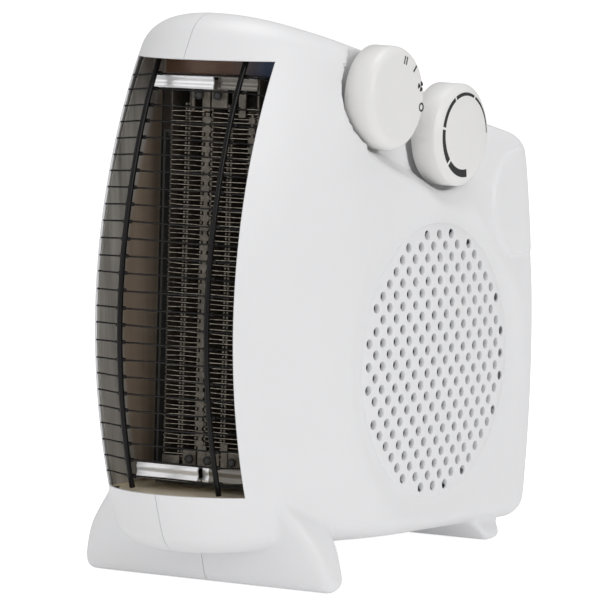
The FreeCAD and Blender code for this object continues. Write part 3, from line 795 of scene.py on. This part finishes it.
def air_duct():
    """The sheet-metal duct from the fan housing to the outlet: a little out of flat, and flared
    to the left in front."""
    verts, faces = [], []
    random.seed(9)
    waves = [(random.uniform(0.05, 0.16), random.uniform(0, 6), random.uniform(12, 40)) for _ in range(4)]

    def ripple(u):
        return sum(a * math.sin(u / w + p) for a, p, w in waves)

    def wall_x(wide, y, z):
        flare = wide - DUCT_HALF + 0.5 * ripple(y * 3) + 0.3 * ripple(z)
        return DUCT_HALF + flare * (DUCT_BACK - y) / DUCT_DEPTH

    for side, wide, reach in ((-1, DUCT_FLARE, 226.4), (1, DUCT_HALF, 228.2)):
        grid = []
        for z in np.linspace(DUCT_LOW, DUCT_HIGH, 40):
            front = on_ring(0, reach, z)[1]
            grid.append([(side * wall_x(wide, y, z), y, z) for y in np.linspace(front, DUCT_BACK, 14)])
        grid = grid if side < 0 else [row[::-1] for row in grid]
        sheet_form(verts, faces, grid, (side * SHEET_THICK, 0, 0))
    for z, up in ((DUCT_LOW, -SHEET_THICK), (DUCT_HIGH, SHEET_THICK)):
        grid = []
        for x in np.linspace(-DUCT_FLARE, DUCT_HALF, 25):
            bow = NOSE_REACH - NOSE_ROUND - 1.5 + math.sqrt((NOSE_ROUND - 3.2) ** 2 - x ** 2)
            front = on_ring(0, bow, z)[1]
            grid.append([(x, y, z + 0.3 * ripple(x * 2)) for y in np.linspace(front, DUCT_BACK, 10)])
        sheet_form(verts, faces, grid if up < 0 else [row[::-1] for row in grid], (0, 0, up))
    # the back plate above the scroll's mouth; sheet_tint paints most of it near black as painted shade
    slab(verts, faces, (-DUCT_HALF, DUCT_BACK - 0.8, SCROLL_MOUTH), (DUCT_HALF, DUCT_BACK, DUCT_HIGH))
    duct = mesh_object("duct_sheet", verts, faces, angle=35)
    finish_piece(duct, "casing", "bright_sheet", SHEET, "air_duct")


BOARDS = (-19.8, -3.6, 1.0, 24.3)
COMBS = (-11.4, 10.4)
BOARD_FRONT, BOARD_BACK, BOARD_LOW, BOARD_HIGH, BOARD_THICK = -91.0, -75.0, -50.0, 122.0, 0.8
STRAND_PITCH, STRAND_LOW, STRAND_HIGH, STRAND_RADIUS = 2.1, -42.0, 112.0, 0.21
STRAND_COUNT = int((STRAND_HIGH - STRAND_LOW) / STRAND_PITCH)
STRIP_PITCH, STRIP_TOP = 4.2, 108.0
TAB_TOP, TAB_BOTTOM = 121.0, -45.5


def notched_boards(verts, faces):
    """Thin boards whose front and back edges are notched to hold the wire."""
    for x in BOARDS:
        front, back = [(BOARD_FRONT, BOARD_LOW)], [(BOARD_BACK, BOARD_LOW)]
        for i in range(STRAND_COUNT):
            z = STRAND_LOW + i * STRAND_PITCH
            for dz, deep in ((-0.55, 0.0), (-0.3, 0.9), (0.3, 0.9), (0.55, 0.0)):
                front.append((BOARD_FRONT + deep, z + dz))
                back.append((BOARD_BACK - deep, z + dz))
        front.append((BOARD_FRONT, BOARD_HIGH))
        back.append((BOARD_BACK, BOARD_HIGH))
        first, rows = len(verts), len(front)
        for dx in (0, BOARD_THICK):
            verts += [(x + dx, y, z) for y, z in front] + [(x + dx, y, z) for y, z in back]
        half = 2 * rows
        for k in range(rows - 1):
            a, b, c, d = first + k, first + k + 1, first + rows + k + 1, first + rows + k
            faces += [(a, b, c, d), (a + half, d + half, c + half, b + half),
                      (b, a, a + half, b + half), (d, c, c + half, d + half)]
        low, high = first, first + rows - 1
        faces.append((low, low + rows, low + rows + half, low + half))
        faces.append((high + rows, high, high + half, high + rows + half))


def combs(verts, faces):
    """Narrow boards between the notched ones, with a double row of teeth in front."""
    for x in COMBS:
        slab(verts, faces, (x, BOARD_FRONT + 1.6, BOARD_LOW),
             (x + BOARD_THICK, BOARD_BACK - 3.6, BOARD_HIGH))
        for i in range(STRAND_COUNT):
            z = STRAND_LOW + (i + 0.5) * STRAND_PITCH
            for tooth in (x - 0.9, x + 0.7):
                slab(verts, faces, (tooth, BOARD_FRONT, z - 0.4), (tooth + 0.8, BOARD_FRONT + 1.8, z + 0.4))


def front_strips(verts, faces):
    """Ladder-like strips up the front: a block and a narrower neck in each pitch."""
    for left, right, low in ((-2.8, 0.9, -36.0), (20.4, 23.4, 40.0)):
        for i in range(int((STRIP_TOP - low) / STRIP_PITCH)):
            z = low + STRIP_PITCH * i
            neck = z + 2.5
            slab(verts, faces, (left, BOARD_FRONT - 0.3, z), (right, BOARD_FRONT + 0.5, neck))
            slab(verts, faces, (left + 0.9, BOARD_FRONT, neck),
                 (right - 0.9, BOARD_FRONT + 0.5, z + STRIP_PITCH))


def end_tabs(verts, faces):
    """Tabs at both ends of the boards, as (left, right, free end)."""
    upper = ((-9.0, -7.6, 107.5), (-3.4, 0.4, 107.5), (1.4, 9.2, 109), (15.2, 18.6, 105.5))
    lower = ((-19.8, -11.2, -40.8), (-9.2, -2.6, -38), (-1.6, 2.6, -35.5), (3.0, 9.4, -38),
             (10.4, 13.6, -34), (14.2, 23.0, -38))
    for left, right, end in upper:
        slab(verts, faces, (left, BOARD_FRONT - 0.5, end), (right, BOARD_FRONT + 0.2, TAB_TOP))
    for left, right, end in lower:
        slab(verts, faces, (left, BOARD_FRONT - 0.5, TAB_BOTTOM), (right, BOARD_FRONT + 0.2, end))


def mica_boards():
    verts, faces = [], []
    for part_of in (notched_boards, combs, front_strips, end_tabs):
        part_of(verts, faces)
    boards = mesh_object("element_boards", verts, faces, smooth=False)
    finish_piece(boards, "casing", "mica", MICA, "mica_boards")


def windings():
    """Resistance wire wound to and fro between the boards, in a front and a back layer."""
    random.seed(21)
    for name, node_name, y in (("winding_front", "front_ribbon", BOARD_FRONT + 0.6),
                               ("winding_back", "back_ribbon", BOARD_BACK - 0.6)):
        verts, faces = [], []
        for left, right in ((BOARDS[0] + BOARD_THICK, BOARDS[1]), (BOARDS[2] + BOARD_THICK, BOARDS[3])):
            for i in range(STRAND_COUNT):
                z = STRAND_LOW + i * STRAND_PITCH
                sag, push = random.uniform(-0.35, 0.25), random.uniform(-0.5, 0.5)
                path = []
                for k in range(7):
                    share = k / 6
                    bow = math.sin(math.pi * share)
                    path.append((left - 0.7 + (right - left + 1.4) * share, y + push * bow,
                                 z + (1 if i % 2 else -1) * 0.25 * (share - 0.5) + sag * bow))
                tube(verts, faces, path, STRAND_RADIUS, 6)
        wire = mesh_object(name, verts, faces, angle=70)
        finish_piece(wire, "casing", "resistance_wire", NICHROME, node_name)


BRACKET_RIGHT, BRACKET_BACK, PLATE_THICK = 24.9, -74.5, 0.7


def bracket(name, node_name, plate_z, lip, left, step_x):
    """A folded plate across the ends of the boards; its lip stands further out to the left of
    step_x."""
    verts, faces = [], []
    for start, end, y in ((left, step_x, -95.4), (step_x + 0.4, BRACKET_RIGHT, -92.2)):
        grid = [[(x, y - 0.25 * math.sin((z - lip[0]) * 1.6), z) for z in np.linspace(*lip, 13)]
                for x in (start, end)]
        sheet_form(verts, faces, grid, (0, PLATE_THICK, 0))
        slab(verts, faces, (start, y, plate_z), (end, BRACKET_BACK, plate_z + PLATE_THICK))
    piece = mesh_object(name, verts, faces, angle=30)
    finish_piece(piece, "casing", "bright_sheet", BRIGHT, node_name)


RIVETS = ((-4.1, 114.4), (5.4, 114.4), (-4.8, -41.6), (4.7, -41.6), (17.0, -41.6))
RIVET_RADIUS, RIVET_SIDES = 2.0, 20


def board_rivets():
    """Dark eyelets in the tabs, each with a small hollow in its middle."""
    verts, faces = [], []
    levels = ((1.0, -93.0), (0.95, -93.9), (0.6, -94.3), (0.5, -94.0))
    turns = [math.tau * k / RIVET_SIDES for k in range(RIVET_SIDES)]
    for x, z in RIVETS:
        first = len(verts)
        for share, y in levels:
            reach = RIVET_RADIUS * share
            verts += [(x + reach * math.cos(t), y, z + reach * math.sin(t)) for t in turns]
        for level in range(len(levels) - 1):
            for k in range(RIVET_SIDES):
                a = first + level * RIVET_SIDES + k
                b = first + level * RIVET_SIDES + (k + 1) % RIVET_SIDES
                faces.append((a, b, b + RIVET_SIDES, a + RIVET_SIDES))
        top = first + (len(levels) - 1) * RIVET_SIDES
        faces.append(tuple(top + k for k in range(RIVET_SIDES)))
        faces.append(tuple(first + k for k in reversed(range(RIVET_SIDES))))
    rivets = mesh_object("board_rivets", verts, faces, angle=40)
    finish_piece(rivets, "casing", "steel", DARK, "bracket_rivets")


air_duct()
mica_boards()
windings()
bracket("bracket_upper", "bracket_top", 122.2, (117.0, 123.0), -27.2, 4.6)
bracket("bracket_lower", "bracket_bottom", -50.6, (-51.2, -44.6), -30.2, 1.4)
board_rivets()


# ---------------------------------------------------------------- stage, light and camera
def ground():
    """A pale floor, brighter where the camera sees it than where it lights the heater."""
    bpy.ops.mesh.primitive_plane_add(size=40)
    floor = bpy.context.active_object
    floor.name = "floor"
    made = plastic("pale_floor", (0.9, 0.9, 0.9), 0.7)
    path = node(made, "ShaderNodeLightPath")
    glow = range_of(made, path.outputs["Is Camera Ray"], 0.16, 0.75)
    feed(made, glow, "Emission Strength")
    made.node_tree.nodes["Principled BSDF"].inputs["Emission Color"].default_value = (1, 1, 1, 1)
    floor.data.materials.append(made)


def area(name, place, target, size, power):
    light = bpy.data.lights.new(name, "AREA")
    light.shape = "RECTANGLE"
    light.size, light.size_y = size
    light.energy = power
    lamp = link(bpy.data.objects.new(name, light))
    lamp.location = place
    lamp.rotation_mode = "QUATERNION"
    lamp.rotation_quaternion = (Vector(target) - Vector(place)).to_track_quat("-Z", "Y")
    return lamp


def studio():
    """A white room that the camera sees as plain white, and four soft lamps."""
    world = bpy.data.worlds.new("studio")
    world.use_nodes = True
    nodes, wire = world.node_tree.nodes, world.node_tree.links.new
    back = nodes["Background"]
    back.inputs["Color"].default_value = (1, 1, 1, 1)
    path = nodes.new("ShaderNodeLightPath")
    level = nodes.new("ShaderNodeMapRange")
    level.inputs["To Min"].default_value = 0.41
    level.inputs["To Max"].default_value = 1.05
    wire(path.outputs["Is Camera Ray"], level.inputs["Value"])
    wire(level.outputs["Result"], back.inputs["Strength"])
    bpy.context.scene.world = world
    area("key", (1.9, -0.75, 1.1), (0, 0, 0.12), (1.1, 1.1), 13)
    area("front", (0.8, -2.3, 0.8), (0, 0, 0.12), (0.8, 0.8), 3)
    area("left", (-1.1, -1.7, 0.7), (0, 0, 0.12), (0.7, 1.2), 5)
    area("top", (0.1, 0.3, 2.0), (0, 0, 0.1), (1.3, 1.3), 15)


CAMERA_PLACE = FAN + Vector((1.21452, -1.87684, 0.35062))
CAMERA_AZIMUTH, CAMERA_ELEVATION, CAMERA_ROLL = 33.05, 8.40, -1.135
CAMERA_LENS = 302.0


def camera():
    data = bpy.data.cameras.new("view")
    data.lens = CAMERA_LENS
    data.sensor_width = 36
    eye = link(bpy.data.objects.new("view", data))
    az, el = math.radians(CAMERA_AZIMUTH), math.radians(CAMERA_ELEVATION)
    back = Vector((math.sin(az) * math.cos(el), -math.cos(az) * math.cos(el), math.sin(el)))
    eye.rotation_mode = "QUATERNION"
    level = back.to_track_quat("Z", "Y")
    eye.rotation_quaternion = level @ Matrix.Rotation(math.radians(CAMERA_ROLL), 3, "Z").to_quaternion()
    eye.location = CAMERA_PLACE
    bpy.context.scene.camera = eye


ground()
studio()
camera()
bpy.context.scene.view_settings.view_transform = "Standard"
